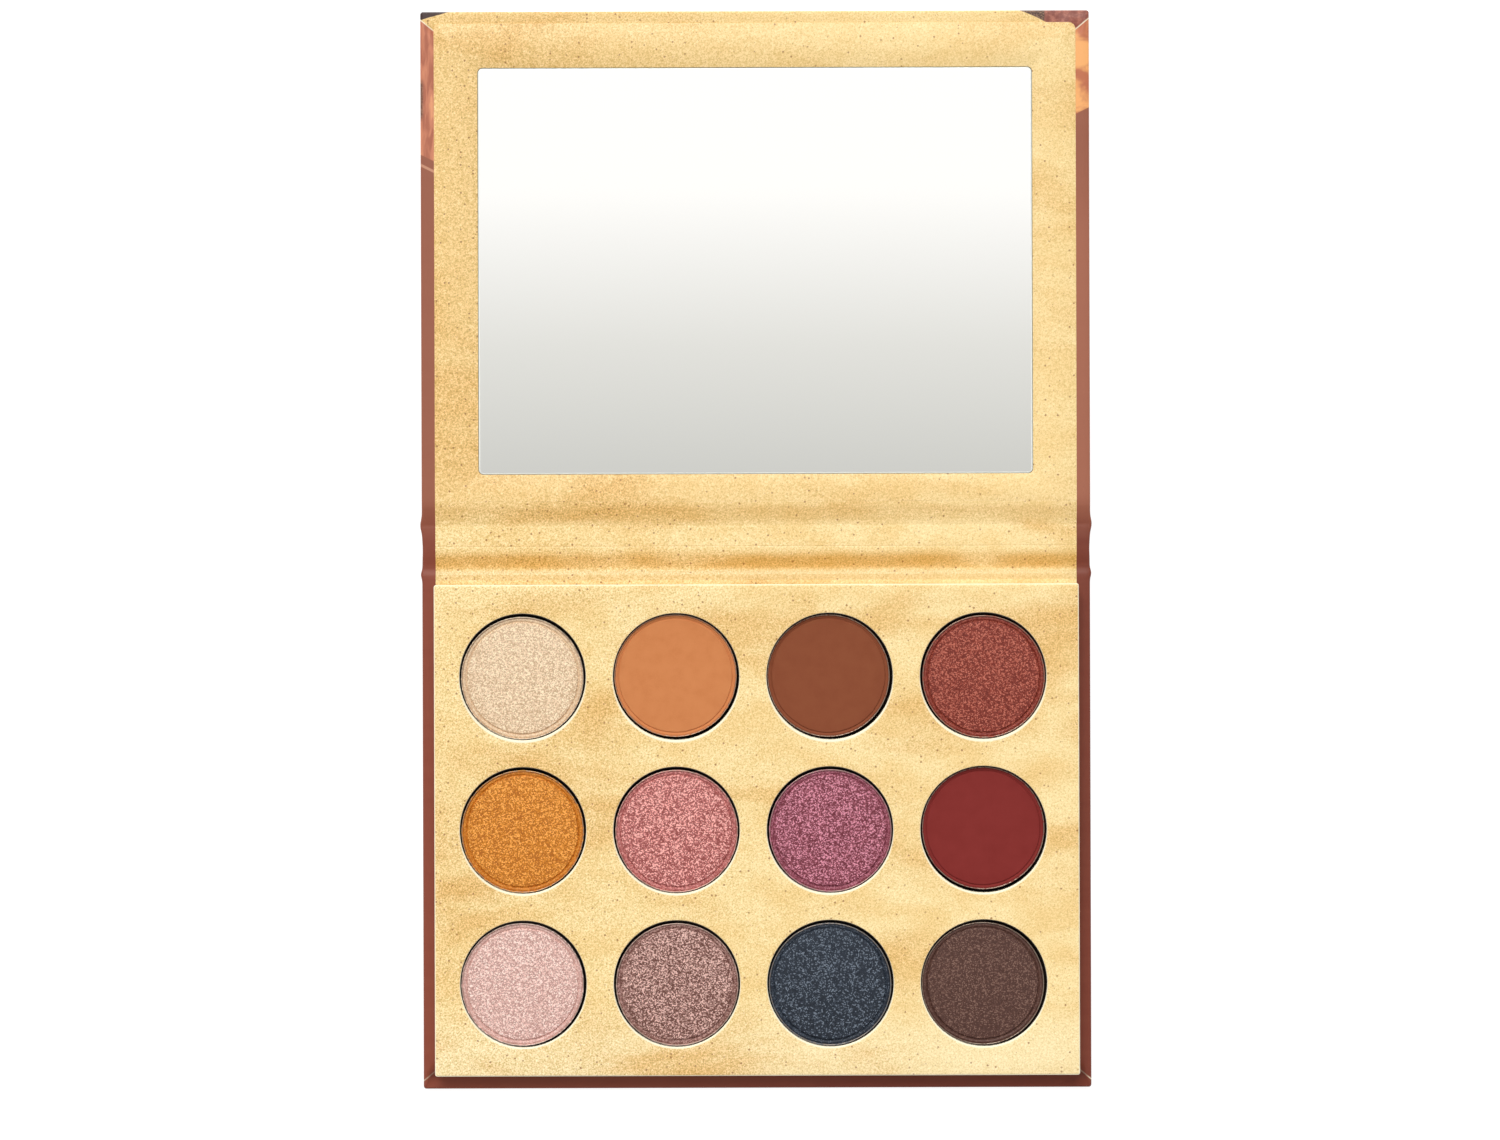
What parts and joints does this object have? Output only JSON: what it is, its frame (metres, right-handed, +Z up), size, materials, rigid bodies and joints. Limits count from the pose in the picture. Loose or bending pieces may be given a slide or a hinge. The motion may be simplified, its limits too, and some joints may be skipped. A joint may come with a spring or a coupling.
{
  "type": "eyeshadow palette",
  "caption": "Book-style card palette, open flat: mirror in a folding lid, paper spine with two creases, and a raised tray of round pans of pressed powder.",
  "frame": {"origin": "centre of the open palette's footprint, on the surface it lies on", "axes": "+Y from the tray towards the lid, +X to the right seen from above, +Z up"},
  "size_m": [0.1424, 0.2296, 0.0075],
  "materials": {
    "wrap_paper": "satin",
    "liner_paper": "matte",
    "tray_paper": "matte",
    "greyboard": "matte",
    "inner_card": "matte",
    "mirror": "polished",
    "adhesive": "matte",
    "magnet": "satin",
    "pan_tin": "satin",
    "shade_r1c1": "matte",
    "shade_r1c2": "matte",
    "shade_r1c3": "matte",
    "shade_r1c4": "matte",
    "shade_r2c1": "matte",
    "shade_r2c2": "matte",
    "shade_r2c3": "matte",
    "shade_r2c4": "matte",
    "shade_r3c1": "matte",
    "shade_r3c2": "matte",
    "shade_r3c3": "matte",
    "shade_r3c4": "matte"
  },
  "bodies": {
    "base": {"base_board": "greyboard", "base_wrap": "wrap_paper", "base_liner": "liner_paper", "tray_magnets": "magnet", "tray_glue_sheet": "adhesive", "tray_floor": "inner_card", "tray_walls": "inner_card", "tray_ribs": "inner_card", "tray_face_board": "inner_card", "tray_wrap": "tray_paper", "pan_glue_pads": "adhesive", "pan_r1c1": "pan_tin", "pan_r1c2": "pan_tin", "pan_r1c3": "pan_tin", "pan_r1c4": "pan_tin", "pan_r2c1": "pan_tin", "pan_r2c2": "pan_tin", "pan_r2c3": "pan_tin", "pan_r2c4": "pan_tin", "pan_r3c1": "pan_tin", "pan_r3c2": "pan_tin", "pan_r3c3": "pan_tin", "pan_r3c4": "pan_tin", "powder_r1c1": "shade_r1c1", "powder_r1c2": "shade_r1c2", "powder_r1c3": "shade_r1c3", "powder_r1c4": "shade_r1c4", "powder_r2c1": "shade_r2c1", "powder_r2c2": "shade_r2c2", "powder_r2c3": "shade_r2c3", "powder_r2c4": "shade_r2c4", "powder_r3c1": "shade_r3c1", "powder_r3c2": "shade_r3c2", "powder_r3c3": "shade_r3c3", "powder_r3c4": "shade_r3c4"},
    "spine": {"spine_board": "greyboard", "spine_wrap": "wrap_paper", "spine_liner": "liner_paper"},
    "lid": {"lid_board": "greyboard", "lid_frame_board": "greyboard", "lid_wrap": "wrap_paper", "lid_liner": "liner_paper", "mirror": "mirror", "mirror_tape": "adhesive", "lid_magnets": "magnet"}
  },
  "joints": [
    {"name": "spine_fold", "type": "hinge", "parent": "base", "child": "spine", "pos_m": [0, -0.0051, 0.0002], "axis": [1, 0, 0], "range_deg": [0, 90]},
    {"name": "lid_fold", "type": "hinge", "parent": "spine", "child": "lid", "pos_m": [0, 0.0051, 0.0002], "axis": [1, 0, 0], "range_deg": [0, 90]}
  ]
}
